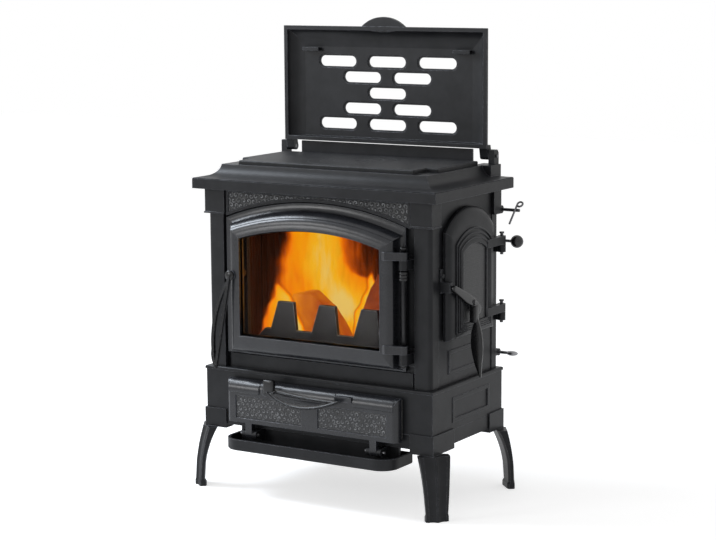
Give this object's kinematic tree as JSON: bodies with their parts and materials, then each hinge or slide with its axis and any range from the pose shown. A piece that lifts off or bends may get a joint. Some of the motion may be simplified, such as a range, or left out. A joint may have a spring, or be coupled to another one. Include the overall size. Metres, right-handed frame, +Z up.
{
  "type": "cast iron wood stove",
  "caption": "Free-standing cast iron wood stove on cabriole legs, with an arched glass door, side loading door, ash door and tray, slotted cooking lid and ring hotplate.",
  "frame": {"origin": "on the floor under the middle of the stove body", "axes": "+Z up, +X to the right seen from the front, front faces -Y, flue leaves along +Y"},
  "size_m": [0.7446, 0.5102, 1.165],
  "materials": {
    "iron": "satin anthracite enamel over sand-cast grain",
    "glass": "clear ceramic glass",
    "steel": "drawn bright steel",
    "rope": "braided glass fibre rope",
    "liner": "raw cast iron, sooty",
    "drawer": "matt heat paint"
  },
  "bodies": {
    "stove_body": {"ash_drawer": "drawer", "ash_pins": "steel", "ash_tray": "iron", "back_panel": "iron", "baffle": "liner", "base_plate": "iron", "column_front_left": "iron", "column_front_right": "iron", "column_rear_left": "iron", "column_rear_right": "iron", "cornice": "iron", "flue_collar": "iron", "front_frame": "iron", "grate": "liner", "hearth_plate": "liner", "hinge_ears": "iron", "hinge_rod": "steel", "hotplate": "iron", "left_side_panel": "iron", "leg_bolts": "steel", "leg_front_left": "iron", "leg_front_right": "iron", "leg_rear_left": "iron", "leg_rear_right": "iron", "lid_hinge_blocks": "iron", "lid_pins": "steel", "liner_back": "liner", "liner_left": "liner", "liner_right": "liner", "log_fence": "liner", "pin_lugs": "iron", "plinth": "iron", "rear_rail": "iron", "register_guides": "iron", "right_side_frame": "iron", "rod_eyes": "iron", "side_ears": "iron", "side_keeper": "iron", "side_pins": "steel", "smoke_outlet": "iron"},
    "main_door": {"main_door": "iron", "door_glass": "glass", "glass_retainer": "steel", "door_gasket": "rope"},
    "main_handle": {"main_handle": "iron"},
    "ash_door": {"ash_door": "iron", "ash_gasket": "rope"},
    "ash_handle": {"ash_handle": "iron"},
    "side_door": {"side_door": "iron", "side_gasket": "rope"},
    "side_lever": {"side_lever": "iron"},
    "lid": {"lid": "iron", "lid_pegs": "iron"},
    "damper": {"damper": "steel", "damper_handle": "steel"},
    "secondary_air": {"secondary_air_slide": "iron"},
    "primary_air": {"primary_air_slide": "steel"},
    "outer_ring": {"outer_ring": "iron"},
    "inner_ring": {"inner_ring": "iron"},
    "ring_cap": {"ring_cap": "iron"}
  },
  "joints": [
    {"name": "main_door_hinge", "type": "hinge", "parent": "stove_body", "child": "main_door", "pos_m": [0.254, -0.186, 0.5], "axis": [0, 0, 1], "range_deg": [0, 120]},
    {"name": "main_handle_pivot", "type": "hinge", "parent": "main_door", "child": "main_handle", "pos_m": [-0.226, -0.206, 0.545], "axis": [0, 1, 0], "range_deg": [0, 45]},
    {"name": "ash_door_hinge", "type": "hinge", "parent": "stove_body", "child": "ash_door", "pos_m": [0, -0.195, 0.15], "axis": [1, 0, 0], "range_deg": [0, 80]},
    {"name": "ash_handle_pivot", "type": "hinge", "parent": "ash_door", "child": "ash_handle", "pos_m": [-0.126, -0.208, 0.264], "axis": [0, -1, 0], "range_deg": [-25, 0]},
    {"name": "side_door_hinge", "type": "hinge", "parent": "stove_body", "child": "side_door", "pos_m": [0.336, 0.15, 0.5], "axis": [0, 0, 1], "range_deg": [0, 90]},
    {"name": "side_lever_pivot", "type": "hinge", "parent": "side_door", "child": "side_lever", "pos_m": [0.35, -0.026, 0.501], "axis": [1, 0, 0], "range_deg": [0, 40]},
    {"name": "lid_hinge", "type": "hinge", "parent": "stove_body", "child": "lid", "pos_m": [0, 0.1645, 0.8305], "axis": [-1, 0, 0], "range_deg": [-90, 0]},
    {"name": "damper_turn", "type": "hinge", "parent": "stove_body", "child": "damper", "pos_m": [0.2, 0.189, 0.697], "axis": [1, 0, 0], "range_deg": [0, 90]},
    {"name": "secondary_air_pull", "type": "slide", "parent": "stove_body", "child": "secondary_air", "axis": [1, 0, 0], "range_m": [0, 0.015]},
    {"name": "primary_air_pull", "type": "slide", "parent": "stove_body", "child": "primary_air", "axis": [1, 0, 0], "range_m": [0, 0.015]},
    {"name": "outer_ring_lift", "type": "slide", "parent": "stove_body", "child": "outer_ring", "axis": [0, 0, 1], "range_m": [0, 0.05]},
    {"name": "inner_ring_lift", "type": "slide", "parent": "outer_ring", "child": "inner_ring", "axis": [0, 0, 1], "range_m": [0, 0.05]},
    {"name": "ring_cap_lift", "type": "slide", "parent": "inner_ring", "child": "ring_cap", "axis": [0, 0, 1], "range_m": [0, 0.05]}
  ]
}
